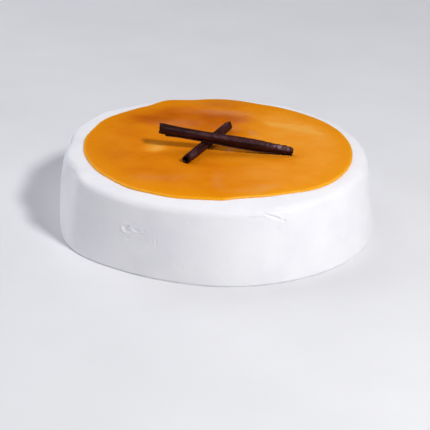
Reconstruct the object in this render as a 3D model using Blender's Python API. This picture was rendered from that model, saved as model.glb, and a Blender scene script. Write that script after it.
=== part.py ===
"""Round ice cream cake: a cream coat, a caramel glaze on top and two rolled chocolate sticks.

Metres, +Z up. The origin is the middle of the foot, on the surface that the cake stands on.
A bearing is measured round the cake from the front (-Y), and is positive towards the right (+X).
"""

import math

import bmesh
import bpy
from mathutils import Matrix, Vector

MM = 0.001
GAP = 0.3 * MM  # left between pieces that rest on each other

# The cake: a 203 mm ring, 51 mm deep, turned out and coated thinly with cream.
FOOT_RADIUS = 103.0 * MM
CREAM_TOP = 50.4 * MM
FOOT_ROUNDING = 2.5 * MM
SIDE_TAPER = 4.4 * MM  # how much narrower the side is at the top than at the foot
SIDE_TAPER_POWER = 1.6  # over 1, the side leans in faster towards the top
SHOULDER_START = 88.0 * MM  # radius where the flat top starts to slope down
SHOULDER_EDGE = 98.7 * MM  # radius and height of the corner before it is rounded
SHOULDER_DROP = 2.2 * MM
SHOULDER_ROUNDING = 6.0 * MM
SIDE_STEPS = 6  # facets up the side
AROUND = 96  # facets round the cake and the glaze

# Unevenness of the outline: (bearing in degrees, half width in degrees, how far it stands out).
FOOT_SWELLS = (
    (-60, 16, 2.8 * MM),
    (-22, 22, -2.6 * MM),
    (62, 42, 1.9 * MM),
    (180, 50, -1.2 * MM),
    (-100, 22, -0.9 * MM),
)
SHOULDER_SWELLS = (
    (-66, 36, 0.9 * MM),
    (-130, 30, 0.6 * MM),
    (-20, 30, -0.8 * MM),
    (88, 50, -1.2 * MM),
)
# How far the shoulder's edge is lifted.
RIM_SWELLS = (
    (-132, 24, 1.5 * MM),
    (120, 30, 0.4 * MM),
    (178, 18, -0.5 * MM),
)
RIM_SWELL_DEPTH = 22.0 * MM  # how far down the side the rim's unevenness reaches

# The glaze: a thin poured disc with a rounded, uneven margin.
GLAZE_RADIUS = 87.0 * MM
GLAZE_THICKNESS = 1.2 * MM
GLAZE_LIP = 1.6 * MM  # how far in from the margin the rounding starts
GLAZE_SWELLS = (
    (14, 15, -4.4 * MM),
    (52, 26, 3.0 * MM),
    (98, 26, 1.2 * MM),
    (150, 24, -1.6 * MM),
    (-178, 40, -0.9 * MM),
    (-92, 30, -0.6 * MM),
    (-160, 9, 2.2 * MM),
)

# The sticks: a sheet of chocolate rolled up, open in the middle.
SHEET = 0.8 * MM
SHEET_GAP = 0.2 * MM  # air between one turn and the next
TURNS = 1.7
TUCK_START = 0.6  # share of a turn that stays round before the sheet tucks under its edge
POINTS_PER_TURN = 20

SHORT_RADIUS = 3.4 * MM
SHORT_FROM = (-18.6 * MM, -32.3 * MM)
SHORT_TO = (6.8 * MM, 28.0 * MM)
SHORT_SEAM = 35  # degrees from straight up
SHORT_GIRTH = ((0.0, 1.0), (0.5, 1.0), (1.0, 0.94))

LONG_RADIUS = 4.0 * MM
LONG_FROM = (-37.8 * MM, -11.3 * MM)
LONG_TO = (48.5 * MM, -12.2 * MM)
LONG_SEAM = -20
LONG_GIRTH = ((0.0, 0.95), (0.3, 0.99), (0.6, 1.06), (0.8, 0.96), (0.95, 0.75), (1.0, 0.67))

STATIONS = (0.0, 0.12, 0.3, 0.45, 0.6, 0.72, 0.85, 0.94, 1.0)  # sections along a stick
RAGGED = 0.9 * MM  # how far the broken ends run in and out
RAGGED_TEETH = ((0.3, 1.45), (0.2, 3.77))  # (share of it, times per turn)
END_STEP = 3.6 * MM  # the outer turn stops short of the inner one at the raised end
END_STEP_TURNS = 0.5  # share of a turn over which it stops short


def clear_scene():
    for old in list(bpy.data.objects):
        bpy.data.objects.remove(old)


def smooth_step(share):
    share = min(max(share, 0.0), 1.0)
    return share * share * (3 - 2 * share)


def along_points(points, share):
    """Value at a share of the way, eased between (share, value) points."""
    for (start, low), (end, high) in zip(points, points[1:]):
        if share <= end:
            return low + (high - low) * smooth_step((share - start) / (end - start))
    return points[-1][1]


def bearing_of(point):
    return math.degrees(math.atan2(point.x, -point.y))


def swelling(bearing, swells):
    """Sum of the rounded swells and hollows at a bearing."""
    total = 0.0
    for centre, half_width, height in swells:
        away = (bearing - centre + 180) % 360 - 180
        total += height * math.exp(-((away / half_width) ** 2))
    return total


def food_material(name, colour, roughness):
    material = bpy.data.materials.new(name)
    material.use_nodes = True
    shader = material.node_tree.nodes["Principled BSDF"]
    shader.inputs["Base Color"].default_value = (*colour, 1)
    shader.inputs["Roughness"].default_value = roughness
    shader.inputs["Metallic"].default_value = 0
    return material


def finish(name, mesh_data, material, sharp_angle):
    """Turn mesh data into a named, shaded object."""
    mesh = bpy.data.meshes.new(name)
    bmesh.ops.recalc_face_normals(mesh_data, faces=mesh_data.faces[:])
    mesh_data.to_mesh(mesh)
    mesh_data.free()
    mesh.shade_smooth()
    mesh.set_sharp_from_angle(angle=math.radians(sharp_angle))
    mesh.materials.append(material)
    made = bpy.data.objects.new(name, mesh)
    bpy.context.scene.collection.objects.link(made)
    return made


def arc(centre, radius, start, end, steps):
    """Points of an arc in the profile plane, between two angles in degrees."""
    points = []
    for step in range(steps + 1):
        angle = math.radians(start + (end - start) * step / steps)
        points.append((centre[0] + radius * math.cos(angle), centre[1] + radius * math.sin(angle)))
    return points


def turned(profile):
    """Spin a profile of (radius, height) points round the Z axis into a closed shape."""
    shape = bmesh.new()
    verts = [shape.verts.new((radius, 0, height)) for radius, height in profile]
    edges = [shape.edges.new(pair) for pair in zip(verts, verts[1:])]
    bmesh.ops.spin(
        shape,
        geom=verts + edges,
        cent=(0, 0, 0),
        axis=(0, 0, 1),
        angle=math.tau,
        steps=AROUND,
        use_merge=True,
    )
    bmesh.ops.remove_doubles(shape, verts=shape.verts[:], dist=0.001 * MM)
    return shape


def side_radius(height):
    return FOOT_RADIUS - SIDE_TAPER * (height / CREAM_TOP) ** SIDE_TAPER_POWER


def side_lean():
    """Degrees from upright where the side meets the shoulder."""
    share = (CREAM_TOP - SHOULDER_DROP) / CREAM_TOP
    slope = SIDE_TAPER / CREAM_TOP * SIDE_TAPER_POWER * share ** (SIDE_TAPER_POWER - 1)
    return math.degrees(math.atan(slope))


def cake_profile():
    """From the middle of the foot, up the side, over the shoulder to the middle of the top."""
    foot = arc((FOOT_RADIUS - FOOT_ROUNDING, FOOT_ROUNDING), FOOT_ROUNDING, -90, -10, 4)
    shoulder_slope = math.degrees(math.atan2(SHOULDER_DROP, SHOULDER_EDGE - SHOULDER_START))
    corner = Vector((SHOULDER_EDGE, CREAM_TOP - SHOULDER_DROP))
    half_turn = (90 - side_lean() - shoulder_slope) / 2
    inward = math.radians(180 + side_lean() + half_turn)
    reach = SHOULDER_ROUNDING / math.cos(math.radians(half_turn))
    centre = corner + reach * Vector((math.cos(inward), math.sin(inward)))
    shoulder = arc(centre, SHOULDER_ROUNDING, side_lean(), 90 - shoulder_slope, 5)
    lowest, highest = 2 * FOOT_ROUNDING, shoulder[0][1]
    side = []
    for step in range(SIDE_STEPS):
        height = lowest + (highest - lowest) * step / SIDE_STEPS
        side.append((side_radius(height), height))
    return [(0, 0), *foot, *side, *shoulder, (SHOULDER_START, CREAM_TOP), (0, CREAM_TOP)]


def cream_cake():
    shape = turned(cake_profile())
    for vert in shape.verts:
        radius = math.hypot(vert.co.x, vert.co.y)
        if radius < SHOULDER_START / 2:
            continue
        bearing = bearing_of(vert.co)
        share = vert.co.z / CREAM_TOP
        grown = radius + (1 - share) * swelling(bearing, FOOT_SWELLS)
        grown += share * swelling(bearing, SHOULDER_SWELLS)
        near_edge = smooth_step((radius - SHOULDER_START) / (SHOULDER_EDGE - SHOULDER_START))
        near_rim = smooth_step(1 - (CREAM_TOP - SHOULDER_DROP - vert.co.z) / RIM_SWELL_DEPTH)
        vert.co.x *= grown / radius
        vert.co.y *= grown / radius
        vert.co.z += near_edge * near_rim * swelling(bearing, RIM_SWELLS)
    return finish("cream_cake", shape, food_material("whipped_cream", (0.89, 0.89, 0.93), 0.5), 50)


def caramel_glaze():
    low = CREAM_TOP + GAP
    middle = low + GLAZE_THICKNESS / 2
    margin = []
    for step in range(7):
        angle = math.radians(-90 + 30 * step)
        margin.append(
            (
                GLAZE_RADIUS - GLAZE_LIP + GLAZE_LIP * math.cos(angle),
                middle + GLAZE_THICKNESS / 2 * math.sin(angle),
            )
        )
    shape = turned([(0, low), *margin, (0, low + GLAZE_THICKNESS)])
    for vert in shape.verts:
        radius = math.hypot(vert.co.x, vert.co.y)
        if radius < GLAZE_RADIUS / 2:
            continue
        grown = radius + swelling(bearing_of(vert.co), GLAZE_SWELLS)
        vert.co.x *= grown / radius
        vert.co.y *= grown / radius
    return finish("caramel_glaze", shape, food_material("caramel", (0.72, 0.24, 0.01), 0.2), 50)


def roll_radius(turn, radius):
    """Outer radius of the rolled sheet after some turns from its outer edge."""
    whole = math.floor(turn)
    tuck = smooth_step((turn - whole - TUCK_START) / (1 - TUCK_START))
    return radius - (SHEET + SHEET_GAP) * (whole + tuck)


def roll_section(radius, seam):
    """Outline of the rolled sheet as (turn, sideways, up) points, outer face first."""
    steps = round(TURNS * POINTS_PER_TURN)
    outline = []
    for wall, order in ((0, range(steps + 1)), (SHEET, range(steps, -1, -1))):
        for step in order:
            turn = step / POINTS_PER_TURN
            angle = math.radians(seam) + math.tau * turn
            reach = roll_radius(turn, radius) - wall
            outline.append((turn, reach * math.sin(angle), reach * math.cos(angle)))
    return outline


def ragged(turn, seed):
    """How far a broken edge runs in, for a place on the roll."""
    bite = 0.5
    for share, teeth in RAGGED_TEETH:
        bite += share * math.sin(math.tau * teeth * turn + teeth * seed)
    return RAGGED * bite


def chocolate_stick(name, start, end, radius, seam, girth, step_back, seed):
    """A rolled stick from start to end, with the outer turn ending step_back short of the start."""
    length = (end - start).length
    forward = (end - start).normalized()
    sideways = forward.cross(Vector((0, 0, 1))).normalized()
    upwards = sideways.cross(forward)
    section = roll_section(radius, seam)
    shape = bmesh.new()
    rings = []
    for station in STATIONS:
        ring = []
        for turn, across, up in section:
            first = ragged(turn, seed) + step_back * (1 - smooth_step(turn / END_STEP_TURNS))
            last = length - ragged(turn, seed + 1)
            along = first + (last - first) * station
            scale = along_points(girth, along / length)
            ring.append(
                shape.verts.new(start + forward * along + (sideways * across + upwards * up) * scale)
            )
        rings.append(ring)
    for ring, following in zip(rings, rings[1:]):
        for here in range(len(ring)):
            after = (here + 1) % len(ring)
            shape.faces.new((ring[here], ring[after], following[after], following[here]))
    half = len(section) // 2
    for ring in (rings[0], rings[-1]):
        for here in range(half - 1):
            shape.faces.new((ring[here], ring[here + 1], ring[-here - 2], ring[-here - 1]))
    chocolate = food_material("chocolate_" + name, (0.055, 0.022, 0.02), 0.4)
    return finish("chocolate_stick_" + name, shape, chocolate, 40)


def chocolate_sticks():
    top = CREAM_TOP + GAP + GLAZE_THICKNESS
    short_height = top + GAP + SHORT_RADIUS
    short_from = Vector((*SHORT_FROM, short_height))
    short_to = Vector((*SHORT_TO, short_height))
    long_from = Vector((*LONG_FROM, 0))
    long_to = Vector((*LONG_TO, top + GAP + LONG_RADIUS * LONG_GIRTH[-1][1]))
    # The long stick lies across the short one: find where they cross, seen from above.
    run = (long_to - long_from).xy
    other = (short_to - short_from).xy
    offset = (short_from - long_from).xy
    share = offset.cross(other) / run.cross(other)
    crossing = short_height + SHORT_RADIUS + GAP + LONG_RADIUS * along_points(LONG_GIRTH, share)
    long_from.z = long_to.z + (crossing - long_to.z) / (1 - share)
    chocolate_stick("short", short_from, short_to, SHORT_RADIUS, SHORT_SEAM, SHORT_GIRTH, 0, 2.0)
    chocolate_stick("long", long_from, long_to, LONG_RADIUS, LONG_SEAM, LONG_GIRTH, END_STEP, 0.6)


def centre_on_origin():
    """Move everything sideways so that the middle of the whole outline is the origin."""
    bpy.context.view_layer.update()
    cake = bpy.data.objects["cream_cake"]
    across = [vert.co.x for vert in cake.data.vertices]
    deep = [vert.co.y for vert in cake.data.vertices]
    shift = Matrix.Translation((-(min(across) + max(across)) / 2, -(min(deep) + max(deep)) / 2, 0))
    for piece in bpy.context.scene.objects:
        piece.data.transform(shift)


clear_scene()
cream_cake()
caramel_glaze()
chocolate_sticks()
centre_on_origin()
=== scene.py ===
"""Looks of a round ice cream cake: a spread cream coat, a poured caramel glaze and two rolled sticks.

Metres, +Z up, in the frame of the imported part. A bearing is measured round the cake from the front
(-Y), and is positive towards the right (+X).
"""

import math
import random

import bmesh
import bpy
from mathutils import Matrix, Vector
from mathutils.kdtree import KDTree


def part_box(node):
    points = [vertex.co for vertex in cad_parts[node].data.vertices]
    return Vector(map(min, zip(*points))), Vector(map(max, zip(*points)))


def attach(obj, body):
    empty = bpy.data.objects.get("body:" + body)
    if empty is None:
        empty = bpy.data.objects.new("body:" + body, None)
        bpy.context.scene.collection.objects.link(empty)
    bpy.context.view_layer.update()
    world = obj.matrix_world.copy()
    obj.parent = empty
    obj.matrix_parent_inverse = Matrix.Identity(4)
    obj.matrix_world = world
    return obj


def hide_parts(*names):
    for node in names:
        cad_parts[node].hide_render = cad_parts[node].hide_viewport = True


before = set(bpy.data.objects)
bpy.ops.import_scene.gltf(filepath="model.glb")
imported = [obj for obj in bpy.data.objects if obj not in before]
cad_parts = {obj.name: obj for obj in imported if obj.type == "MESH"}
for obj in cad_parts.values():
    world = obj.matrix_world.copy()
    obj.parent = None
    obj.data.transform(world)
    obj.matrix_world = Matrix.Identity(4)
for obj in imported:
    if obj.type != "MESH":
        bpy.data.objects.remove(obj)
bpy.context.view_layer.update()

MM = 0.001

# The cake ring's middle. The uneven coat puts the middle of the whole outline a little beside it.
MIDDLE = Vector((-0.85, 0.27, 0)) * MM
AROUND = 560  # points round the coat and the glaze
SHARP = math.radians(45)  # faces that meet at more than this make a corner
SAME_HEIGHT = 0.01 * MM

# The coat.
FOOT_RADIUS = 102.7 * MM
FOOT_CUT = 1.4 * MM  # how much of the foot's corner the rounding takes
FOOT_STEPS = 5  # faces across that rounding
FOOT_FLAT = 0.3 * MM  # what is lower than this is pressed flat
CREAM_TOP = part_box("cream_cake")[1].z
SHOULDER_RADIUS = 98.7 * MM  # the shoulder's corner before it is rounded
SHOULDER_HEIGHT = CREAM_TOP - 2.2 * MM
SHOULDER_CUT = 3.6 * MM
SHOULDER_STEPS = 9  # faces across that rounding
SLOPE_END = 88.0 * MM  # radius where the shoulder's slope meets the flat top
FLAT_RINGS = 4  # rings of faces that close the flat top and the foot
SIDE_ROWS = 60  # cuts between the foot and the shoulder
SIDE_BULGE = 0.25 * MM  # how far the side stands out halfway up
# Hand-spread unevenness: (bearing, how far it stands out, how far it reaches round).
FOOT_PULLS = (
    (-60, 2.4 * MM, 46 * MM),
    (-22, -2.6 * MM, 64 * MM),
    (62, 1.9 * MM, 122 * MM),
    (180, -1.2 * MM, 145 * MM),
    (-100, -0.9 * MM, 64 * MM),
    (88, 0.8 * MM, 30 * MM),
)
SHOULDER_PULLS = (
    (-66, 0.9 * MM, 100 * MM),
    (-130, 0.6 * MM, 85 * MM),
    (-20, -0.8 * MM, 85 * MM),
    (88, -0.7 * MM, 140 * MM),
    (-111, 1.2 * MM, 17 * MM),
    (-99, -0.6 * MM, 18 * MM),
    (-72, -3.2 * MM, 24 * MM),
)
SHOULDER_LIFTS = (
    (-132, 1.5 * MM, 68 * MM),
    (-126, 1.5 * MM, 23 * MM),
    (120, 0.4 * MM, 85 * MM),
    (180, -0.9 * MM, 50 * MM),
    (156, 0.45 * MM, 36 * MM),
    (-61, 1.7 * MM, 17 * MM),
)
# Places that are rounder: (bearing, radius, height, pull (outward, up), reach).
SOFTENED = (
    (-86, 98.5 * MM, 47.5 * MM, (-1.2 * MM, -0.4 * MM), 16 * MM),
    (-86, 102 * MM, 22 * MM, (0.5 * MM, 0), 38 * MM),
    (-96, 97.5 * MM, 48.5 * MM, (-1.4 * MM, -0.4 * MM), 15 * MM),
)
# Broad unevenness of the spread coat, and the lower, longer sweeps of the palette knife in it.
SPREAD_SIZE, SPREAD_DEPTH = (60 * MM, 60 * MM, 40 * MM), 0.34 * MM
SWEEP_SIZE, SWEEP_DEPTH = (30 * MM, 30 * MM, 4 * MM), 0.09 * MM
# Touches of the knife round the shoulder: how many, how unevenly spaced, how deep and how wide they
# are, the radii and the depths under the top between which they lie, and which way (outward, up) they
# move the cream.
TOUCHES = 66
TOUCH_SEED = 5
TOUCH_STRAY = 0.4
TOUCH_DEPTH = 0.28 * MM
TOUCH_REACH = (5 * MM, 12 * MM)
TOUCH_RADII = (93 * MM, 98.5 * MM)
TOUCH_UNDER_TOP = (0.5 * MM, 3.5 * MM)
TOUCH_WAY = (0.6, 0.8)
SIDE_RADIUS = 100 * MM  # where bearings are measured along the side
# Parts of the side with smaller faces, for the marks: (bearing, height) corners and cuts.
FINE_PARTS = (
    ((-39, 17 * MM), (-20, 37 * MM), 2),
    ((8, 33 * MM), (28, 51 * MM), 2),
)
# Marks of the knife in the side: path of (bearing, height), width, how far it stands out, reach.
MARKS = (
    # A pit with a raised lip at its upper left.
    (((-34.2, 29.6 * MM), (-33.0, 30.6 * MM)), 0.8 * MM, -0.42 * MM, 1.4 * MM),
    (((-33.9, 28.2 * MM), (-31.8, 28.5 * MM)), 0.7 * MM, -0.26 * MM, 1.3 * MM),
    (((-31.0, 30.9 * MM), (-29.6, 29.6 * MM), (-28.3, 29.3 * MM)), 0.7 * MM, -0.26 * MM, 1.2 * MM),
    (
        (
            (-32.6, 33.3 * MM),
            (-34.4, 32.6 * MM),
            (-35.5, 30.4 * MM),
            (-35.7, 28.8 * MM),
            (-35.1, 27.4 * MM),
            (-34.1, 26.8 * MM),
        ),
        0.5 * MM,
        0.34 * MM,
        0.9 * MM,
    ),
    (((-34.6, 30.5 * MM), (-32.4, 31.7 * MM)), 0.4 * MM, -0.32 * MM, 0.8 * MM),
    # Flecks to the right of the pit.
    (((-30.3, 32.3 * MM), (-29.7, 34.2 * MM)), 0.4 * MM, -0.2 * MM, 1.0 * MM),
    (((-30.6, 29.0 * MM),), 0.5 * MM, 0.17 * MM, 1.2 * MM),
    (((-30.3, 27.3 * MM), (-28.7, 27.9 * MM)), 0.4 * MM, -0.17 * MM, 0.8 * MM),
    (((-27.2, 29.0 * MM),), 0.5 * MM, 0.25 * MM, 0.9 * MM),
    (((-26.1, 30.5 * MM),), 0.6 * MM, -0.25 * MM, 0.9 * MM),
    (((-27.9, 27.2 * MM), (-26.6, 27.8 * MM)), 0.4 * MM, -0.19 * MM, 0.8 * MM),
    (((-32.9, 23.1 * MM), (-32.1, 23.3 * MM)), 0.5 * MM, -0.2 * MM, 0.9 * MM),
    (((-33.8, 24.4 * MM),), 0.4 * MM, -0.17 * MM, 0.8 * MM),
    # Two short upright marks and the ridge between them.
    (((-22.8, 26.9 * MM), (-22.8, 24.3 * MM)), 0.5 * MM, -0.16 * MM, 1.0 * MM),
    (((-21.5, 26.7 * MM), (-21.4, 22.8 * MM)), 0.6 * MM, -0.21 * MM, 1.0 * MM),
    (((-22.1, 26.0 * MM), (-22.0, 24.0 * MM)), 0.4 * MM, 0.1 * MM, 0.8 * MM),
    # Fainter ones below them, and one far to the left.
    (((-19.9, 21.5 * MM), (-19.5, 19.8 * MM)), 0.6 * MM, -0.15 * MM, 1.3 * MM),
    (((-65.3, 27.5 * MM), (-65.6, 24.0 * MM)), 0.6 * MM, -0.28 * MM, 1.2 * MM),
    (((-24.2, 15.4 * MM), (-24.0, 12.6 * MM)), 0.5 * MM, -0.14 * MM, 1.2 * MM),
    # Shallow dents lower down.
    (((-17.8, 18.0 * MM),), 1.0 * MM, -0.16 * MM, 2.0 * MM),
    (((-14.1, 12.8 * MM), (-14.0, 11.6 * MM)), 1.0 * MM, -0.19 * MM, 2.0 * MM),
    (((-12.0, 11.3 * MM), (-11.8, 10.5 * MM)), 1.0 * MM, -0.22 * MM, 1.8 * MM),
    (((-7.9, 9.4 * MM), (-7.4, 8.8 * MM)), 1.0 * MM, -0.22 * MM, 1.8 * MM),
    (((-9.2, 41.3 * MM),), 0.8 * MM, -0.19 * MM, 1.3 * MM),
    (((-59.4, 23.5 * MM), (-59.2, 21.8 * MM)), 1.0 * MM, -0.22 * MM, 1.9 * MM),
    (((-57.3, 28.8 * MM),), 1.0 * MM, -0.19 * MM, 1.8 * MM),
    # A nick that the knife's corner left under the shoulder, with a lip on both sides.
    (((17.6, 45.7 * MM), (19.6, 44.4 * MM), (22.3, 42.5 * MM)), 0.5 * MM, -0.46 * MM, 0.9 * MM),
    (((17.8, 46.9 * MM), (21.1, 45.2 * MM), (24.2, 41.8 * MM)), 0.5 * MM, 0.27 * MM, 1.1 * MM),
    (((19.4, 42.2 * MM), (23.6, 39.6 * MM)), 0.7 * MM, 0.2 * MM, 1.5 * MM),
    (((24.7, 40.1 * MM),), 0.7 * MM, -0.39 * MM, 1.1 * MM),
    (((25.5, 41.2 * MM),), 0.6 * MM, 0.23 * MM, 0.9 * MM),
    # The line that its edge left beside the nick.
    (((11.0, 44.6 * MM), (14.0, 44.3 * MM), (17.3, 43.8 * MM)), 0.4 * MM, -0.23 * MM, 0.9 * MM),
    (((11.9, 41.8 * MM), (19.2, 40.8 * MM)), 0.6 * MM, 0.09 * MM, 2.0 * MM),
    (((21.6, 35.6 * MM), (22.3, 34.4 * MM)), 1.2 * MM, -0.17 * MM, 2.4 * MM),
    (((24.7, 30.8 * MM),), 1.2 * MM, -0.12 * MM, 3.0 * MM),
)
# Quieter marks on the rest of the side: how many, and the least and the most of the bearing, the
# height, how many degrees and how far up they run, their depth and their reach.
QUIET_MARKS = 26
QUIET_SEED = 11
QUIET_BEARINGS = (45, 285)
QUIET_HEIGHTS = (7 * MM, 44 * MM)
QUIET_RUNS = (0.5, 4)
QUIET_RISES = (-1.5 * MM, 1.5 * MM)
QUIET_DEPTHS = (0.1 * MM, 0.3 * MM)
QUIET_REACHES = (1.2 * MM, 2.6 * MM)
QUIET_WIDTH = 0.9 * MM

# The glaze. It is poured on the cream, so its underside lies in it.
GLAZE_RADIUS = 87.0 * MM
GLAZE_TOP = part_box("caramel_glaze")[1].z
GLAZE_SINK = 0.8 * MM  # how deep its underside lies in the cream
UNDER_BAND = 0.1 * MM  # what is no higher than this above its underside belongs to that
GLAZE_CUT = 0.6 * MM
GLAZE_STEPS = 7  # faces across the rounding of its margin
GLAZE_DROOP, GLAZE_DROOP_REACH = -0.35 * MM, 5 * MM  # how far its margin sinks, and how far in
GLAZE_RINGS, GLAZE_UNDER_RINGS = 34, 3  # rings of faces on its top and its underside
GLAZE_WAVE_SIZE, GLAZE_WAVE_DEPTH = (24 * MM, 24 * MM, 24 * MM), 0.22 * MM
GLAZE_RIPPLE_SIZE, GLAZE_RIPPLE_DEPTH = (7 * MM, 7 * MM, 7 * MM), 0.025 * MM
TO_MARGIN = "to_margin"  # where each point keeps how far it is from the outline
OUTLINE_BAND = 10 * MM  # no point of its outline is further inside its radius than this
# Small unevennesses of the poured outline: how many, how far they stand out and how far they reach.
GLAZE_WOBBLES = 22
WOBBLE_SEED = 3
WOBBLE_MOVES, WOBBLE_REACHES = (-0.35 * MM, 0.35 * MM), (6 * MM, 16 * MM)
GLAZE_PULLS = (
    (14, -4.4 * MM, 39 * MM),
    (52, 3.0 * MM, 67 * MM),
    (98, 1.2 * MM, 67 * MM),
    (150, -1.6 * MM, 62 * MM),
    (-178, -0.9 * MM, 103 * MM),
    (-92, -0.6 * MM, 77 * MM),
    (-160, 2.2 * MM, 23 * MM),
    (32, -2.4 * MM, 20 * MM),
    (44, -0.8 * MM, 30 * MM),
    (-8, -1.5 * MM, 16 * MM),
    (4, 0.9 * MM, 8 * MM),
    (-38, 1.1 * MM, 19 * MM),
    (-120, 1.3 * MM, 22 * MM),
    (140, 1.6 * MM, 60 * MM),
    (178, 3.2 * MM, 30 * MM),
    (-157, 2.7 * MM, 19 * MM),
)

# Its colour by how thick it is.
CARAMEL_COLOURS = (
    (0.0, "#ffb146"),
    (0.25, "#fca02a"),
    (0.45, "#f39216"),
    (0.62, "#ec8708"),
    (0.82, "#da7206"),
    (1.0, "#c66006"),
)
THICK_LEFT, THICK_RIGHT = 0.62, 0.27  # it is thinner on the right half
RIGHT_HALF_FROM, RIGHT_HALF_TO = 0, 42 * MM
# Where it is thicker or thinner, with a painted shade in front of the long stick's right end and a
# lighter spot under its left end: (change, middle, half sizes, turn), in millimetres and degrees.
CARAMEL_POOLS_AND_SHADE = (
    (0.32, (-28, 50), (64, 28), -2),
    (0.16, (-54, 46), (24, 17), 0),
    (0.18, (4, 40), (28, 34), 10),
    (0.2, (13, 50), (17, 12), -20),
    (0.2, (30, 44), (20, 10), -37),
    (-0.55, (53, 35), (27, 6), -37),
    (0.14, (64, 44), (34, 8), -37),
    (-0.1, (50, 30), (44, 24), -37),
    # Lighter under the long stick's left end, just in front of its shadow.
    (-0.7, (-39, -3), (13, 17), 0),
    (-0.12, (-54, -8), (18, 9), 0),
    # Painted shade: darker caramel in front of the long stick's right end.
    (0.14, (34, -20), (24, 9), 0),
    (0.1, (44, -26), (34, 24), 0),
    (0.3, (22, 80), (46, 18), -10),
    (-0.16, (24, 21), (9, 9), 0),
    (-0.12, (12, -20), (22, 10), 0),
    (-0.12, (-37, -64), (30, 12), -20),
)
CARAMEL_CLOUDS = ((0.44, 26), (0.26, 9))  # softer unevenness: (change, size)
# Places with another cast, and two painted glints: (strength, colour, middle, half sizes, turn),
# likewise.
CARAMEL_TINTS_AND_GLINTS = (
    (0.34, "#d8804c", (-4, 61), (38, 13), -6),
    (0.3, "#c86800", (-40, 50), (26, 18), 0),
    (0.34, "#d07c50", (18, 47), (16, 12), 0),
    (0.26, "#e09060", (6, 34), (16, 10), 0),
    (0.3, "#d88c60", (-28, 40), (26, 12), 0),
    (0.3, "#c87848", (-3, 80), (36, 9), 0),
    (0.16, "#eab890", (8, 62), (24, 10), -14),
    (0.26, "#d07018", (-64, -18), (18, 16), 0),
    (0.16, "#e09868", (-36, -54), (34, 12), 8),
    (0.1, "#f0b488", (4, -58), (8, 26), 8),
    (0.05, "#f0b488", (26, -46), (28, 24), 8),
    (0.2, "#fcc890", (26, -69), (22, 9), 20),
    (0.45, "#fa9c00", (-30, -78), (50, 16), -16),
    (0.3, "#ec9000", (-58, -54), (28, 22), -45),
    (0.3, "#e88400", (-24, -32), (32, 22), 0),
    (0.24, "#e48600", (24, -18), (22, 8), 0),
    # Painted glints: two small pale pink spots of light on the glaze.
    (0.4, "#e09a70", (5, -6), (6, 5), 0),
    (0.4, "#e09a70", (22, 27), (6, 5), 0),
)
PATCH_LEVEL, PATCH_DEEP = 52, 30  # height of these places' middles, and their half size in height
WANDER_SIZE, WANDER = 34, 26 * MM  # their borders wander: size of the bends, and how far
# It thins out towards its margin: (reach in millimetres, strength, colour), most of all on its rim.
MARGIN_BANDS = ((18, 0.6, "#f69800"), (2.4, 0.7, "#ffb418"))
MARGIN_RIM = 0.5

# The sticks: a thin sheet of chocolate rolled up, open in the middle.
SHEET = 0.8 * MM
SHEET_GAP = 0.15 * MM  # air between one turn and the next
TUCK_START = 0.6  # share of a turn that stays round before the sheet tucks under its edge
POINTS_PER_TURN = 44
STATION = 0.7 * MM  # between one section and the next along a stick
SETTLED = 0.4 * MM  # how far the sticks have sunk into the soft glaze
FLARE_TURN = 0.12  # share of a turn in which a lip comes off the roll
RIM_CUT = 0.14 * MM  # how much of the sheet's corners is worn off
RIDGE_SIZE, RIDGE_DEPTH = (38 * MM, 1.9 * MM, 1.9 * MM), 0.3 * MM
WORN = "worn"  # the points that crumble, and how much
CRUMBLE_SIZE, CRUMBLE_DEPTH = (1.9 * MM, 1.9 * MM, 1.9 * MM), 2.4 * MM
SCRATCH_SIZE, SCRATCH_DEPTH = (9 * MM, 0.8 * MM, 0.8 * MM), 0.16 * MM

SHORT_RADIUS = 3.2 * MM
SHORT_FROM = Vector((-19.1, -30.9, 0)) * MM + MIDDLE
SHORT_TO = Vector((7.3, 29.9, 0)) * MM + MIDDLE
SHORT_TURNS = 1.4
SHORT_LIP = 12  # degrees of the outer lip from straight up, towards the front
SHORT_FLARE = 0.4 * MM  # how far the outer lip stands off the roll
SHORT_GIRTHS = ((0.0, 0.95, 20 * MM),)
# Torn ends: (end, turns from the outer lip, how far along the stick, how far that reaches).
SHORT_TEARS = (
    (0, 0.0, 0.9 * MM, 3.0 * MM),
    (0, 0.45, -0.4 * MM, 2.5 * MM),
    (0, 0.8, 0.5 * MM, 2.5 * MM),
    (1, 0.15, -0.9 * MM, 3.5 * MM),
    (1, 0.65, 0.3 * MM, 2.5 * MM),
)

LONG_RADIUS = 3.55 * MM
LONG_FROM = Vector((-37.2, -6.9, 0)) * MM + MIDDLE
LONG_TO = Vector((48.9, -12.8, 0)) * MM + MIDDLE
LONG_TURNS = 1.75
LONG_LIP = 148
LONG_FLARE = 0.0
LONG_WORN = 24 * MM  # how much of its end crumbled
# Its thickness: (share of the length, share of the radius, how far along that reaches).
LONG_GIRTHS = (
    (0.0, 1.17, 14 * MM),
    (0.0, 0.92, 2.5 * MM),
    (0.66, 1.12, 32 * MM),
    (1.0, 0.78, 24 * MM),
)
LONG_TEARS = (
    (0, 0.0, 5.3 * MM, 9.0 * MM),
    (0, 0.5, -0.5 * MM, 2.2 * MM),
    (0, 0.8, 0.3 * MM, 2.2 * MM),
    (1, 0.55, -1.9 * MM, 3.4 * MM),
    (1, 0.3, -0.7 * MM, 2.2 * MM),
    (1, 0.85, 0.3 * MM, 2.0 * MM),
)
# Bites out of its brittle upper edge: (share of the length, turns, depth, reach).
LONG_BITES = (
    (0.80, 0.53, 0.5 * MM, 1.6 * MM),
    (0.85, 0.55, 0.8 * MM, 1.5 * MM),
    (0.89, 0.52, 1.0 * MM, 1.4 * MM),
    (0.925, 0.55, 0.9 * MM, 1.3 * MM),
    (0.96, 0.52, 1.1 * MM, 1.5 * MM),
    (0.02, 0.60, 0.3 * MM, 1.5 * MM),
    (0.07, 0.55, 0.2 * MM, 1.4 * MM),
)
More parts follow.
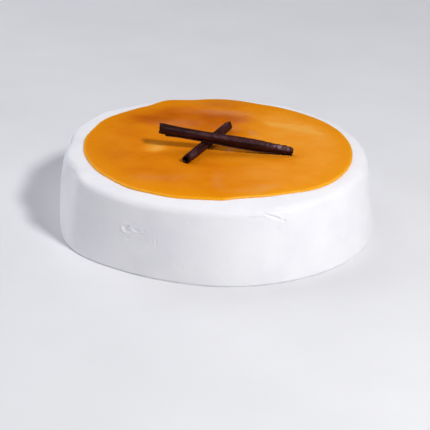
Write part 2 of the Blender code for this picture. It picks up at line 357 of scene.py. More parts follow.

# Painted highlights on the sticks, grey-violet and kept to small crests: (strength, middle, half sizes)
# along the stick and across it, in millimetres.
SHORT_PAINTED_HIGHLIGHTS = ((0.35, (6, -1.6, 2.8), (9, 2.5, 2.5)), (0.5, (59, 0.4, 3.2), (8, 2.2, 2.2)))
LONG_PAINTED_HIGHLIGHTS = ((1.0, (79, 2.6, -1.0), (15, 2.4, 2.4)), (0.22, (42, 3.4, -1.1), (48, 2, 2)))

# Soft lights: (name, bearing, degrees up, distance, size, watts, colour), all towards the cake's top.
LIGHTS = (
    ("key", 38, 43, 1.3, 0.2, 13.0, "#ffffff"),
    ("back left", -135, 50, 1.5, 1.2, 9.8, "#f7f8ff"),
    ("left", -92, 15, 1.3, 0.8, 4.7, "#f4f6ff"),
    ("front right", 50, 3, 1.3, 0.8, 1.4, "#ffffff"),
    ("back right", 135, 40, 1.5, 1.0, 2.6, "#f7f8ff"),
)
UNREFLECTED = "left"  # seen from the right, its reflection would hide the glaze's colour
GLOW_COLOUR, GLOW = "#c8ccd6", 0.015  # faint light from all round
FLOOR_SIZE = 6

# Camera, from the angles at which the photograph shows the cake.
CAMERA_LENS_MM = 146.51
CAMERA_SENSOR_MM = 36.0
CAMERA_DISTANCE = 1.16
CAMERA_DOWN = 24.12  # degrees below level
CAMERA_LEAN = 1.41  # degrees that the picture leans
PICTURE_PIXELS = 430
MIDDLE_IN_PICTURE = (-0.1, -3.6)  # where the foot's middle is, in pixels right of and above the centre


# ---------------------------------------------------------------- basic moves

def alone(piece):
    """Make a piece the only one that is selected."""
    bpy.ops.object.select_all(action="DESELECT")
    piece.select_set(True)
    bpy.context.view_layer.objects.active = piece


def edit(piece):
    """Start shaping a piece, with nothing selected."""
    alone(piece)
    bpy.ops.object.mode_set(mode="EDIT")
    bpy.ops.mesh.select_mode(type="VERT")
    bpy.ops.mesh.select_all(action="DESELECT")


def pick(kind, wanted):
    """Select the points or edges of the piece being edited that wanted() says yes to, and no others."""
    bpy.ops.mesh.select_mode(type="VERT" if kind == "verts" else "EDGE")
    bpy.ops.mesh.select_all(action="DESELECT")
    mesh = bpy.context.edit_object.data
    shape = bmesh.from_edit_mesh(mesh)
    for part in getattr(shape, kind):
        part.select_set(wanted(part))
    shape.select_flush_mode()
    bmesh.update_edit_mesh(mesh)


def pick_nearest(place):
    """Select the point that is nearest to a place."""
    shape = bmesh.from_edit_mesh(bpy.context.edit_object.data)
    nearest = min(shape.verts, key=lambda vert: (vert.co - place).length_squared)
    pick("verts", lambda vert: vert == nearest)


def pull(move, reach, connected=True):
    """Move what is selected, and what is near it less and less."""
    bpy.ops.transform.translate(
        value=move,
        use_proportional_edit=True,
        use_proportional_connected=connected,
        proportional_edit_falloff="SMOOTH",
        proportional_size=reach,
    )


def outward(bearing):
    """The level direction away from the cake's middle at a bearing."""
    angle = math.radians(bearing)
    return Vector((math.sin(angle), -math.cos(angle), 0))


def on_cake(bearing, radius, height):
    """A place at a bearing, a radius from the cake's middle and a height."""
    return MIDDLE + outward(bearing) * radius + Vector((0, 0, height))


def add_ring(radius, height):
    """Add a circle round the cake's middle to the piece being edited."""
    centre = MIDDLE + Vector((0, 0, height))
    bpy.ops.mesh.primitive_circle_add(vertices=AROUND, radius=radius, location=centre)


def pull_ring(radius, height, pulls):
    """Pull a ring out or in at some bearings."""
    for bearing, move, reach in pulls:
        pick_nearest(on_cake(bearing, radius, height))
        pull(outward(bearing) * move, reach)


def shrink_to(scale, height):
    """Extrude the selected ring inwards, flat at a height."""
    bpy.ops.mesh.extrude_region_move()
    centre = (MIDDLE.x, MIDDLE.y, height)
    bpy.ops.transform.resize(value=(scale, scale, 0), center_override=centre)


def close_flat(height, rings):
    """Fill the selected ring with smaller and smaller rings and a middle point."""
    for step in range(rings, 1, -1):
        shrink_to((step - 1) / step, height)
    bpy.ops.mesh.extrude_region_move()
    bpy.ops.mesh.merge(type="CENTER")


def level(height):
    """The points at a height."""
    return lambda point: abs(point.co.z - height) < SAME_HEIGHT


def corner(low, high):
    """The edges of a corner between two heights."""
    return lambda edge: low < edge.verts[0].co.z < high and edge.calc_face_angle(0) > SHARP


def displace(piece, name, size, depth, group=""):
    """Push the surface in and out by clouds whose size is (along X, Y, Z), and apply it."""
    pattern = bpy.data.textures.new(name, "CLOUDS")
    pattern.noise_scale = 1
    guide = bpy.data.objects.new(name, None)
    guide.scale = size
    bpy.context.scene.collection.objects.link(guide)
    bpy.context.view_layer.update()
    alone(piece)
    bpy.ops.object.modifier_add(type="DISPLACE")
    change = piece.modifiers[-1]
    change.texture = pattern
    change.texture_coords = "OBJECT"
    change.texture_coords_object = guide
    change.strength = depth
    change.vertex_group = group
    bpy.ops.object.modifier_apply(modifier=change.name)
    bpy.data.objects.remove(guide)


def finish(piece, name, node, material):
    """Name a modelled piece, give it its finish and let it stand for its CAD node."""
    alone(piece)
    bpy.ops.object.transform_apply(location=True, rotation=True, scale=True)
    bpy.ops.object.shade_smooth()
    piece.name = piece.data.name = name
    piece.data.materials.clear()
    piece.data.materials.append(material)
    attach(piece, "root")
    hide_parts(node)


# ---------------------------------------------------------------- cream coat

def bulge_side():
    """Swell the side a little between foot and shoulder."""
    middle = SHOULDER_HEIGHT / 2
    pick("verts", lambda vert: abs(vert.co.z - middle) < MM)
    share = 1 + SIDE_BULGE / FOOT_RADIUS
    bpy.ops.transform.resize(
        value=(share, share, 1),
        center_override=(MIDDLE.x, MIDDLE.y, middle),
        use_proportional_edit=True,
        proportional_edit_falloff="SMOOTH",
        proportional_size=middle,
    )


def unrolled(place):
    """Where a place on the side is in the side's own plane: (length round the cake, height)."""
    return Vector((math.atan2(place.x, -place.y) * SIDE_RADIUS, place.z))


def refine(low, high, cuts):
    """Give the side smaller faces between two (bearing, height) corners."""
    left, right = math.radians(low[0]) * SIDE_RADIUS, math.radians(high[0]) * SIDE_RADIUS
    pick("verts", lambda vert: low[1] < vert.co.z < high[1] and left < unrolled(vert.co).x < right)
    bpy.ops.mesh.subdivide(number_cuts=cuts)


def from_path(place, path):
    """How far a place in the side's plane is from a path of such places."""
    nearest = min((place - spot).length for spot in path)
    for start, end in zip(path, path[1:]):
        run = end - start
        share = (place - start).dot(run) / run.length_squared
        if 0 < share < 1:
            nearest = min(nearest, (place - start - run * share).length)
    return nearest


def mark(path, width, move, reach):
    """Draw the knife's corner through the coat along a path of (bearing, height) places."""
    spots = [Vector((math.radians(bearing) * SIDE_RADIUS, height)) for bearing, height in path]
    low = min(spot.y for spot in spots) - width
    high = max(spot.y for spot in spots) + width
    shape = bmesh.from_edit_mesh(bpy.context.edit_object.data)
    near = {vert: from_path(unrolled(vert.co), spots) for vert in shape.verts if low < vert.co.z < high}
    limit = max(width / 2, min(near.values()))
    chosen = {vert for vert, gap in near.items() if gap <= limit}
    pick("verts", lambda vert: vert in chosen)
    bearing = sum(bearing for bearing, _ in path) / len(path)
    pull(outward(bearing) * move, reach, connected=False)


def quiet_marks():
    """Short shallow marks round the rest of the side."""
    chance = random.Random(QUIET_SEED)
    for _ in range(QUIET_MARKS):
        bearing = chance.uniform(*QUIET_BEARINGS)
        bearing -= 360 if bearing > 180 else 0
        height = chance.uniform(*QUIET_HEIGHTS)
        along, up = chance.uniform(*QUIET_RUNS), chance.uniform(*QUIET_RISES)
        path = ((bearing, height), (bearing + along, height + up))
        # Two in three are dents, the rest are ridges.
        depth = chance.choice((-1, -1, 1)) * chance.uniform(*QUIET_DEPTHS)
        mark(path, QUIET_WIDTH, depth, chance.uniform(*QUIET_REACHES))


def touch_shoulder():
    """Small touches of the knife all round the shoulder."""
    chance = random.Random(TOUCH_SEED)
    for step in range(TOUCHES):
        bearing = (step + chance.uniform(-TOUCH_STRAY, TOUCH_STRAY)) * 360 / TOUCHES
        radius = chance.uniform(*TOUCH_RADII)
        pick_nearest(on_cake(bearing, radius, CREAM_TOP - chance.uniform(*TOUCH_UNDER_TOP)))
        lift = outward(bearing) * TOUCH_WAY[0] + Vector((0, 0, TOUCH_WAY[1]))
        pull(lift * chance.uniform(-1, 1) * TOUCH_DEPTH, chance.uniform(*TOUCH_REACH), connected=False)


def cream_coat():
    """Foot and shoulder rings pulled to shape, bridged, rounded, spread and marked."""
    bpy.ops.mesh.primitive_circle_add(vertices=AROUND, radius=FOOT_RADIUS, location=MIDDLE)
    coat = bpy.context.object
    bpy.ops.object.transform_apply(location=True)
    edit(coat)
    pull_ring(FOOT_RADIUS, 0, FOOT_PULLS)
    bpy.ops.mesh.select_all(action="DESELECT")
    add_ring(SHOULDER_RADIUS, SHOULDER_HEIGHT)
    pull_ring(SHOULDER_RADIUS, SHOULDER_HEIGHT, SHOULDER_PULLS)
    for bearing, move, reach in SHOULDER_LIFTS:
        pick_nearest(on_cake(bearing, SHOULDER_RADIUS, SHOULDER_HEIGHT))
        pull((0, 0, move), reach)
    bpy.ops.mesh.select_all(action="SELECT")
    bpy.ops.mesh.bridge_edge_loops()
    middle = SHOULDER_HEIGHT / 2
    pick("verts", lambda vert: vert.co.z > middle)
    shrink_to(SLOPE_END / SHOULDER_RADIUS, CREAM_TOP)
    close_flat(CREAM_TOP, FLAT_RINGS)
    pick("verts", level(0))
    close_flat(0, FLAT_RINGS)
    pick("edges", corner(middle, CREAM_TOP + MM))
    bpy.ops.mesh.bevel(offset=SHOULDER_CUT, segments=SHOULDER_STEPS, affect="EDGES")
    pick("edges", corner(-MM, MM))
    bpy.ops.mesh.bevel(offset=FOOT_CUT, segments=FOOT_STEPS, affect="EDGES")
    pick("edges", lambda edge: abs(edge.verts[0].co.z - edge.verts[1].co.z) > middle)
    bpy.ops.mesh.subdivide(number_cuts=SIDE_ROWS)
    bulge_side()
    for bearing, radius, height, (out, up), reach in SOFTENED:
        pick_nearest(on_cake(bearing, radius, height))
        pull(outward(bearing) * out + Vector((0, 0, up)), reach, connected=False)
    bpy.ops.mesh.select_all(action="SELECT")
    bpy.ops.mesh.normals_make_consistent(inside=False)
    bpy.ops.object.mode_set(mode="OBJECT")
    displace(coat, "spread", SPREAD_SIZE, SPREAD_DEPTH)
    displace(coat, "sweeps", SWEEP_SIZE, SWEEP_DEPTH)
    edit(coat)
    touch_shoulder()
    for low, high, cuts in FINE_PARTS:
        refine(low, high, cuts)
    for path, width, move, reach in MARKS:
        mark(path, width, move, reach)
    quiet_marks()
    # The foot stands flat.
    pick("verts", lambda vert: vert.co.z < FOOT_FLAT)
    bpy.ops.transform.resize(value=(1, 1, 0), center_override=(0, 0, 0))
    bpy.ops.object.mode_set(mode="OBJECT")
    return coat


# ---------------------------------------------------------------- caramel glaze

def store_margin(glaze, bottom):
    """Keep on each point how far it is from the poured outline, in millimetres, for the finish."""
    points = glaze.data.vertices
    outline = [point.co for point in filter(level(bottom), points)]
    outline = [place for place in outline if place.xy.length > GLAZE_RADIUS - OUTLINE_BAND]
    tree = KDTree(len(outline))
    for index, place in enumerate(outline):
        tree.insert((place.x, place.y, 0), index)
    tree.balance()
    gaps = glaze.data.attributes.new(TO_MARGIN, "FLOAT", "POINT")
    for point in points:
        gaps.data[point.index].value = tree.find((point.co.x, point.co.y, 0))[2] / MM


def caramel_glaze():
    """A ring pulled to the poured outline, raised, filled and rounded at its margin."""
    bottom = CREAM_TOP - GLAZE_SINK
    centre = MIDDLE + Vector((0, 0, bottom))
    bpy.ops.mesh.primitive_circle_add(vertices=AROUND, radius=GLAZE_RADIUS, location=centre)
    glaze = bpy.context.object
    bpy.ops.object.transform_apply(location=True)
    edit(glaze)
    pull_ring(GLAZE_RADIUS, bottom, GLAZE_PULLS)
    chance = random.Random(WOBBLE_SEED)
    wobbles = [
        (chance.uniform(-180, 180), chance.uniform(*WOBBLE_MOVES), chance.uniform(*WOBBLE_REACHES))
        for _ in range(GLAZE_WOBBLES)
    ]
    pull_ring(GLAZE_RADIUS, bottom, wobbles)
    bpy.ops.mesh.select_all(action="SELECT")
    bpy.ops.mesh.extrude_region_move(TRANSFORM_OT_translate={"value": (0, 0, GLAZE_TOP - bottom)})
    close_flat(GLAZE_TOP, GLAZE_RINGS)
    low = bottom + UNDER_BAND
    rim = corner(low, GLAZE_TOP + MM)
    # The margin droops, and the ring under it goes back to where it was.
    pick("edges", rim)
    pull((0, 0, GLAZE_DROOP), GLAZE_DROOP_REACH)
    pick("verts", lambda vert: vert.co.z < low)
    bpy.ops.transform.resize(value=(1, 1, 0), center_override=(0, 0, bottom))
    close_flat(bottom, GLAZE_UNDER_RINGS)
    pick("edges", rim)
    bpy.ops.mesh.bevel(offset=GLAZE_CUT, segments=GLAZE_STEPS, affect="EDGES")
    bpy.ops.mesh.select_all(action="SELECT")
    bpy.ops.mesh.normals_make_consistent(inside=False)
    bpy.ops.object.mode_set(mode="OBJECT")
    store_margin(glaze, bottom)
    displace(glaze, "wave", GLAZE_WAVE_SIZE, GLAZE_WAVE_DEPTH)
    displace(glaze, "ripple", GLAZE_RIPPLE_SIZE, GLAZE_RIPPLE_DEPTH)
    return glaze


# ---------------------------------------------------------------- chocolate sticks

def smooth_step(share):
    """From 0 to 1, slow at both ends."""
    share = min(max(share, 0.0), 1.0)
    return share * share * (3 - 2 * share)


def roll_place(turn, radius, flare=0.0):
    """A point on the rolled sheet's outer face, some turns from its outer lip."""
    whole = math.floor(turn)
    tuck = smooth_step((turn - whole - TUCK_START) / (1 - TUCK_START))
    reach = radius - (SHEET + SHEET_GAP) * (whole + tuck)
    reach += flare * (1 - smooth_step(turn / FLARE_TURN))
    angle = math.tau * turn
    return Vector((0, -reach * math.sin(angle), reach * math.cos(angle)))


def roll_up(radius, length, turns, flare):
    """A sheet rolled up along X, with its outer lip on top, still without a thickness."""
    bpy.ops.mesh.primitive_plane_add(size=SHEET, location=(0, 0, 0))
    stick = bpy.context.object
    edit(stick)
    bpy.ops.mesh.select_all(action="SELECT")
    bpy.ops.mesh.merge(type="CENTER")
    bpy.ops.transform.translate(value=roll_place(0, radius, flare))
    for step in range(round(turns * POINTS_PER_TURN)):
        here = roll_place(step / POINTS_PER_TURN, radius, flare)
        there = roll_place((step + 1) / POINTS_PER_TURN, radius, flare)
        bpy.ops.mesh.extrude_region_move(TRANSFORM_OT_translate={"value": there - here})
    bpy.ops.mesh.select_all(action="SELECT")
    bpy.ops.mesh.extrude_region_move(TRANSFORM_OT_translate={"value": (length, 0, 0)})
    pick("edges", lambda edge: edge.calc_length() > length / 2)
    bpy.ops.mesh.subdivide(number_cuts=round(length / STATION) - 1)
    return stick


def tear(radius, length, flare, bites, tears):
    """Bite into the roll's edge, and pull its ends out or in where they broke."""
    for share, turn, depth, reach in bites:
        place = roll_place(turn, radius, flare)
        pick_nearest(place + Vector((share * length, 0, 0)))
        pull(-place.normalized() * depth, reach)
    for end, turn, move, reach in tears:
        pick_nearest(roll_place(turn, radius, flare) + Vector((end * length, 0, 0)))
        pull((move, 0, 0), reach)


def swell(length, girths):
    """Make the roll thicker or thinner round some places of its length."""
    for share, girth, reach in girths:
        pick("verts", lambda vert: abs(vert.co.x - share * length) < STATION / 2)
        bpy.ops.transform.resize(
            value=(1, girth, girth),
            center_override=(share * length, 0, 0),
            use_proportional_edit=True,
            proportional_edit_falloff="SMOOTH",
            proportional_size=reach,
        )


def thicken(stick):
    """Give the rolled sheet its thickness, and wear off its corners."""
    alone(stick)
    bpy.ops.object.modifier_add(type="SOLIDIFY")
    wall = stick.modifiers[-1]
    wall.thickness = SHEET
    wall.offset = -1
    bpy.ops.object.modifier_apply(modifier=wall.name)
    edit(stick)
    pick("edges", lambda edge: edge.calc_face_angle(0) > SHARP)
    bpy.ops.mesh.bevel(offset=RIM_CUT, segments=2, affect="EDGES")
    bpy.ops.object.mode_set(mode="OBJECT")


def weigh_worn_end(stick, length, reach):
    """Store how worn each point of a roll is: wholly at its end, less and less along it."""
    worn = stick.vertex_groups.new(name=WORN)
    for point in stick.data.vertices:
        worn.add([point.index], smooth_step(1 - (length - point.co.x) / reach), "REPLACE")


def rolled_sheet(radius, length, turns, flare, girths, tears, bites=(), worn=0.0):
    """A stick of chocolate along X: a sheet rolled up, torn, given its thickness and ridged."""
    stick = roll_up(radius, length, turns, flare)
    tear(radius, length, flare, bites, tears)
    swell(length, girths)
    bpy.ops.mesh.select_all(action="SELECT")
    bpy.ops.mesh.normals_make_consistent(inside=False)
    bpy.ops.object.mode_set(mode="OBJECT")
    thicken(stick)
    if worn:
        weigh_worn_end(stick, length, worn)
        displace(stick, "crumbles", CRUMBLE_SIZE, CRUMBLE_DEPTH, group=WORN)
    displace(stick, "ridges", RIDGE_SIZE, RIDGE_DEPTH)
    displace(stick, "scratches", SCRATCH_SIZE, SCRATCH_DEPTH)
    return stick


def lay(stick, start, end, lip):
    """Lay a stick from start to end, turned so that its lip is some degrees from straight up."""
    forward = (end - start).normalized()
    left = Vector((0, 0, 1)).cross(forward).normalized()
    axes = Matrix((forward, left, forward.cross(left))).transposed()
    turn = axes @ Matrix.Rotation(math.radians(lip), 3, "X")
    stick.matrix_world = Matrix.Translation(start) @ turn.to_4x4()
    return stick.matrix_world.copy()


def short_stick():
    """The short stick lies on the glaze."""
    low = Vector((0, 0, GLAZE_TOP - SETTLED + SHORT_RADIUS))
    start, end = SHORT_FROM + low, SHORT_TO + low
    stick = rolled_sheet(
        SHORT_RADIUS, (end - start).length, SHORT_TURNS, SHORT_FLARE, SHORT_GIRTHS, SHORT_TEARS
    )
    return stick, lay(stick, start, end, SHORT_LIP)


def long_stick():
    """The long stick lies across the short one, with its right end on the glaze."""
    # Where the sticks cross, seen from above, and how high the long one is there.
    run, other = (LONG_TO - LONG_FROM).xy, (SHORT_TO - SHORT_FROM).xy
    share = (SHORT_FROM - LONG_FROM).xy.cross(other) / run.cross(other)
    floor = GLAZE_TOP - SETTLED
    crossing = floor + 2 * SHORT_RADIUS + SHORT_FLARE + LONG_RADIUS
    end = LONG_TO + Vector((0, 0, floor + LONG_RADIUS * LONG_GIRTHS[-1][1]))
    start = LONG_FROM + Vector((0, 0, end.z + (crossing - end.z) / (1 - share)))
    stick = rolled_sheet(
        LONG_RADIUS,
        (end - start).length,
        LONG_TURNS,
        LONG_FLARE,
        LONG_GIRTHS,
        LONG_TEARS,
        LONG_BITES,
        LONG_WORN,
    )
    return stick, lay(stick, start, end, LONG_LIP)


# ---------------------------------------------------------------- finishes

def linear(code):
    """An sRGB hex value as a linear colour."""
    parts = [int(code[place : place + 2], 16) / 255 for place in (1, 3, 5)]
    return (*[c / 12.92 if c <= 0.04045 else ((c + 0.055) / 1.055) ** 2.4 for c in parts], 1)


def feature(size):
    """The scale that gives a pattern features of a size in millimetres."""
    return 1 / (size * MM)


def wire(tree, node, sockets):
    """Give sockets a value, or a link from another node."""
    for name, value in sockets.items():
        if isinstance(value, bpy.types.NodeSocket):
            tree.links.new(value, node.inputs[name])
        else:
            node.inputs[name].default_value = value


def add(tree, kind, sockets, stops=(), **settings):
    """Add a node with its settings, sockets and, for a ramp, its stops; return its first output."""
    node = tree.nodes.new("ShaderNode" + kind)
    for name, value in settings.items():
        setattr(node, name, value)
    if stops:
        steps = node.color_ramp.elements
        steps.remove(steps[-1])
        steps[0].position = stops[0][0]
        for position, _ in stops[1:]:
            steps.new(position)
        for step, (_, code) in zip(steps, stops):
            step.color = linear(code)
    wire(tree, node, sockets)
    return next(socket for socket in node.outputs if socket.enabled)


def blank(name, **settings):
    """A new material with its shader's constant settings; return it, its tree and its shader."""
    material = bpy.data.materials.new(name)
    material.use_nodes = True
    shader = material.node_tree.nodes["Principled BSDF"]
    wire(material.node_tree, shader, {socket.replace("_", " "): settings[socket] for socket in settings})
    return material, material.node_tree, shader


def patch(tree, where, middle, half, turn=0.0):
    """A soft spot, 1 in its middle and 0 from its half sizes outwards, all in millimetres."""
    local = add(
        tree,
        "Mapping",
        {
            "Vector": where,
            "Location": Vector(middle) * MM,
            "Rotation": (0, 0, math.radians(turn)),
            "Scale": Vector(half) * MM,
        },
        vector_type="TEXTURE",
    )
    ball = add(tree, "TexGradient", {"Vector": local}, gradient_type="SPHERICAL")
    return add(tree, "MapRange", {"Value": ball}, interpolation_type="SMOOTHSTEP")


def whipped_cream():
    """Whipped cream, beaten stiff and spread with a palette knife.

    It is nearly white with a faint cool cast, soft and matt with a slight moist sheen where the knife
    pressed it smooth. Light enters it by a few millimetres.
    """
    material, tree, shader = blank(
        "whipped cream",
        IOR=1.45,
        Specular_IOR_Level=0.3,
        Subsurface_Weight=0.25,
        Subsurface_Radius=(1.0, 0.9, 0.8),
        Subsurface_Scale=3 * MM,
    )
    where = add(tree, "TexCoord", {}).node.outputs["Object"]
    # Patches a few centimetres wide, hardly darker than the rest.
    tone = add(tree, "TexNoise", {"Vector": where, "Scale": feature(26), "Detail": 3})
    colour = add(
        tree, "ValToRGB", {"Fac": tone}, stops=((0.3, "#f0eff4"), (0.5, "#f5f4f8"), (0.7, "#f8f8fb"))
    )
    # Sweeps of the knife run round the side, 3 mm high and several centimetres long.
    long_way = add(tree, "Mapping", {"Vector": where, "Scale": (1, 1, 14)})
    sweeps = add(tree, "TexNoise", {"Vector": long_way, "Scale": feature(42), "Detail": 4})
    rough = add(tree, "MapRange", {"Value": sweeps, "To Min": 0.5, "To Max": 0.7})
    # Grain of the beaten cream, about 1 mm: finer in life, but it wouldn't show.
    grain = add(tree, "TexNoise", {"Vector": where, "Scale": feature(1.3), "Detail": 3})
    # Burst air bubbles: a pit of under a millimetre in some cells only.
    cells = add(tree, "TexVoronoi", {"Vector": where, "Scale": feature(5.5)})
    pits = add(tree, "MapRange", {"Value": cells, "From Min": 0.05, "From Max": 0.12})
    relief = add(tree, "Bump", {"Strength": 0.5, "Distance": 0.12 * MM, "Height": sweeps})
    fine = {"Strength": 0.35, "Distance": 0.08 * MM, "Height": grain, "Normal": relief}
    relief = add(tree, "Bump", fine)
    burst = {"Strength": 0.3, "Distance": 0.15 * MM, "Height": pits, "Normal": relief}
    relief = add(tree, "Bump", burst)
    wire(tree, shader, {"Base Color": colour, "Roughness": rough, "Normal": relief})
    return material


def caramel():
    """Poured caramel glaze: sugar, butter and cream set with gelatine.

    It is amber, brown where it pooled thick and yellow where it ran thin, smooth and glossy, and
    slightly cloudy, so its reflections are soft. A shade in front of the long stick's right end and two
    small glints are painted into its colour.
    """
    material, tree, shader = blank("caramel glaze", IOR=1.46, Specular_IOR_Level=0.3)
    where = add(tree, "TexCoord", {}).node.outputs["Object"]
    bends = add(tree, "TexNoise", {"Vector": where, "Scale": feature(WANDER_SIZE), "Detail": 2})
    warp = bends.node.outputs["Color"]
    warp = add(tree, "VectorMath", {0: warp, 1: (0.5, 0.5, 0.5)}, operation="SUBTRACT")
    warp = add(tree, "VectorMath", {0: warp, "Scale": WANDER}, operation="SCALE")
    wandering = add(tree, "VectorMath", {0: where, 1: warp}, operation="ADD")
    rightward = add(tree, "SeparateXYZ", {"Vector": wandering})
    # Thickness of the caramel from 0 to 1, into which the pools also paint a shade and a lighter spot.
    depth = add(
        tree,
        "MapRange",
        {
            "Value": rightward,
            "From Min": RIGHT_HALF_FROM,
            "From Max": RIGHT_HALF_TO,
            "To Min": THICK_LEFT,
            "To Max": THICK_RIGHT,
        },
        interpolation_type="SMOOTHSTEP",
    )
    for change, middle, half, turn in CARAMEL_POOLS_AND_SHADE:
        spot = patch(tree, wandering, (*middle, PATCH_LEVEL), (*half, PATCH_DEEP), turn)
        depth = add(tree, "Math", {0: spot, 1: change, 2: depth}, operation="MULTIPLY_ADD")
    for change, size in CARAMEL_CLOUDS:
        clouds = add(tree, "TexNoise", {"Vector": where, "Scale": feature(size), "Detail": 3})
        clouds = add(tree, "Math", {0: clouds, 1: 0.5}, operation="SUBTRACT")
        depth = add(tree, "Math", {0: clouds, 1: change, 2: depth}, operation="MULTIPLY_ADD")
    colour = add(tree, "ValToRGB", {"Fac": depth}, stops=CARAMEL_COLOURS)
    for strength, code, middle, half, turn in CARAMEL_TINTS_AND_GLINTS:
        spot = patch(tree, wandering, (*middle, PATCH_LEVEL), (*half, PATCH_DEEP), turn)
        share = add(tree, "Math", {0: spot, 1: strength}, operation="MULTIPLY")
        colour = add(tree, "MixRGB", {"Fac": share, "Color1": colour, "Color2": linear(code)})
    gap = add(tree, "Attribute", {}, attribute_name=TO_MARGIN).node.outputs["Fac"]
    for reach, strength, code in MARGIN_BANDS:
        thin = add(
            tree,
            "MapRange",
            {"Value": gap, "From Min": MARGIN_RIM, "From Max": reach, "To Min": strength, "To Max": 0},
            interpolation_type="SMOOTHSTEP",
        )
        colour = add(tree, "MixRGB", {"Fac": thin, "Color1": colour, "Color2": linear(code)})
    # Cloudier and clearer places, 2 cm wide.
    haze = add(tree, "TexNoise", {"Vector": where, "Scale": feature(18), "Detail": 4})
    rough = add(tree, "MapRange", {"Value": haze, "To Min": 0.2, "To Max": 0.36})
    # The skin that set on it is a little uneven, in waves of 3.5 mm.
    skin = add(tree, "TexNoise", {"Vector": where, "Scale": feature(3.5), "Detail": 3})
    relief = add(tree, "Bump", {"Strength": 0.25, "Distance": 0.05 * MM, "Height": skin})
    wire(tree, shader, {"Base Color": colour, "Roughness": rough, "Normal": relief})
    return material


def rolled_chocolate(name, lying, painted_highlights):
    """Dark chocolate, scraped thin and rolled up.

    It is nearly black-brown with a satin face. The scraper leaves lengthwise ridges and streaks, and
    a grey-violet highlight is painted on their crests where light catches each stick.
    """
    material, tree, shader = blank(name, IOR=1.46, Specular_IOR_Level=0.12)
    place = add(tree, "TexCoord", {}).node.outputs["Object"]
    # Along the stick and across it, instead of along the cake.
    turned = {"Vector": place, "Location": lying.to_translation(), "Rotation": lying.to_euler()}
    along = add(tree, "Mapping", turned, vector_type="TEXTURE")
    # The scraper's streaks are 1.6 mm apart, and 20 times as long.
    drawn = add(tree, "Mapping", {"Vector": along, "Scale": (0.05, 1, 1)})
    streaks = add(tree, "TexNoise", {"Vector": drawn, "Scale": feature(1.6), "Detail": 4})
    mottle = add(tree, "TexNoise", {"Vector": along, "Scale": feature(6), "Detail": 4})
    tone = add(tree, "Math", {0: mottle, 1: 0.5, 2: streaks}, operation="MULTIPLY_ADD")
    colour = add(
        tree, "ValToRGB", {"Fac": tone}, stops=((0.45, "#190604"), (0.72, "#2c110f"), (1.0, "#4a2325"))
    )
    # The painted highlights keep to small crests, 2 mm apart.
    crests = add(tree, "TexNoise", {"Vector": along, "Scale": feature(2.2), "Detail": 2})
    crests = add(tree, "MapRange", {"Value": crests, "From Min": 0.42, "From Max": 0.6, "To Min": 0.2})
    # Painted highlights: grey-violet light laid on the crests, in the patches given for each stick.
    for strength, middle, half in painted_highlights:
        spot = patch(tree, along, middle, half)
        share = add(tree, "Math", {0: spot, 1: crests}, operation="MULTIPLY")
        share = add(tree, "Math", {0: share, 1: strength}, operation="MULTIPLY")
        colour = add(tree, "MixRGB", {"Fac": share, "Color1": colour, "Color2": linear("#947080")})
    rough = add(tree, "MapRange", {"Value": streaks, "To Min": 0.36, "To Max": 0.62})
    relief = add(tree, "Bump", {"Strength": 0.8, "Distance": 0.25 * MM, "Height": streaks})
    # Crumbs of about 1 mm: finer in life, but they wouldn't show.
    crumbs = add(tree, "TexNoise", {"Vector": along, "Scale": feature(0.9), "Detail": 2})
    fine = {"Strength": 0.3, "Distance": 0.06 * MM, "Height": crumbs, "Normal": relief}
    relief = add(tree, "Bump", fine)
    wire(tree, shader, {"Base Color": colour, "Roughness": rough, "Normal": relief})
    return material


def floor_paint():
    """Matt wall paint, nearly white, with the faint unevenness that the roller leaves."""
    material, tree, shader = blank("matt wall paint", IOR=1.45, Specular_IOR_Level=0.2)
    where = add(tree, "TexCoord", {}).node.outputs["Object"]
    tone = add(tree, "TexNoise", {"Vector": where, "Scale": feature(90), "Detail": 3})
    colour = add(tree, "ValToRGB", {"Fac": tone}, stops=((0.3, "#e6e6e8"), (0.7, "#ebebed")))
    wire(tree, shader, {"Base Color": colour, "Roughness": 0.85})
    return material


# ---------------------------------------------------------------- light and camera

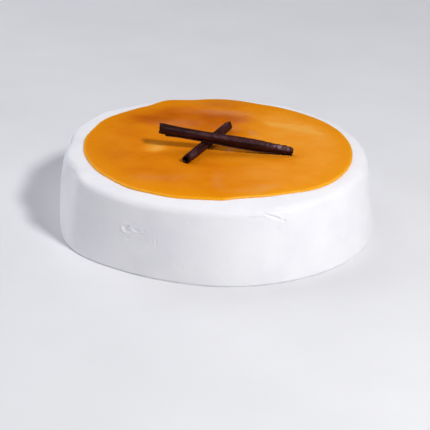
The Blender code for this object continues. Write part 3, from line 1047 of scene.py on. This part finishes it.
def soft_light(name, bearing, up, distance, size, watts, code):
    """A square soft light that faces the cake."""
    light = bpy.data.lights.new(name, "AREA")
    light.shape = "SQUARE"
    light.size = size
    light.energy = watts
    light.color = linear(code)[:3]
    lamp = bpy.data.objects.new(name, light)
    beside = math.cos(math.radians(up)) * distance
    above = math.sin(math.radians(up)) * distance
    aim = Vector((0, 0, GLAZE_TOP))
    lamp.location = aim + outward(bearing) * beside + Vector((0, 0, above))
    lamp.rotation_euler = (lamp.location - aim).to_track_quat("Z", "Y").to_euler()
    bpy.context.scene.collection.objects.link(lamp)
    return lamp


def surroundings():
    """A faint glow, the floor and the lights."""
    world = bpy.data.worlds.new("studio")
    world.use_nodes = True
    glow = world.node_tree.nodes["Background"]
    wire(world.node_tree, glow, {"Color": linear(GLOW_COLOUR), "Strength": GLOW})
    bpy.context.scene.world = world
    bpy.ops.mesh.primitive_plane_add(size=FLOOR_SIZE, location=(0, 0, 0))
    floor = bpy.context.object
    floor.name = "floor"
    floor.data.materials.append(floor_paint())
    for name, *settings in LIGHTS:
        soft_light(name, *settings).visible_glossy = name != UNREFLECTED


def camera():
    """A long lens at the photograph's viewing angle."""
    lens = bpy.data.cameras.new("camera")
    lens.lens = CAMERA_LENS_MM
    lens.sensor_width = CAMERA_SENSOR_MM
    body = bpy.data.objects.new("camera", lens)
    bpy.context.scene.collection.objects.link(body)
    turn = Matrix.Rotation(math.radians(90 - CAMERA_DOWN), 3, "X")
    turn = turn @ Matrix.Rotation(math.radians(CAMERA_LEAN), 3, "Z")
    pixel = CAMERA_SENSOR_MM / PICTURE_PIXELS / CAMERA_LENS_MM * CAMERA_DISTANCE
    aim = Vector((MIDDLE_IN_PICTURE[0] * pixel, MIDDLE_IN_PICTURE[1] * pixel, -CAMERA_DISTANCE))
    body.matrix_world = Matrix.Translation(MIDDLE - turn @ aim) @ turn.to_4x4()
    bpy.context.scene.camera = body
    bpy.context.scene.view_settings.view_transform = "Standard"


finish(cream_coat(), "cream_coat", "cream_cake", whipped_cream())
finish(caramel_glaze(), "poured_glaze", "caramel_glaze", caramel())
stick, lying = short_stick()
chocolate = rolled_chocolate("dark chocolate, short roll", lying, SHORT_PAINTED_HIGHLIGHTS)
finish(stick, "short_roll", "chocolate_stick_short", chocolate)
stick, lying = long_stick()
chocolate = rolled_chocolate("dark chocolate, long roll", lying, LONG_PAINTED_HIGHLIGHTS)
finish(stick, "long_roll", "chocolate_stick_long", chocolate)
surroundings()
camera()
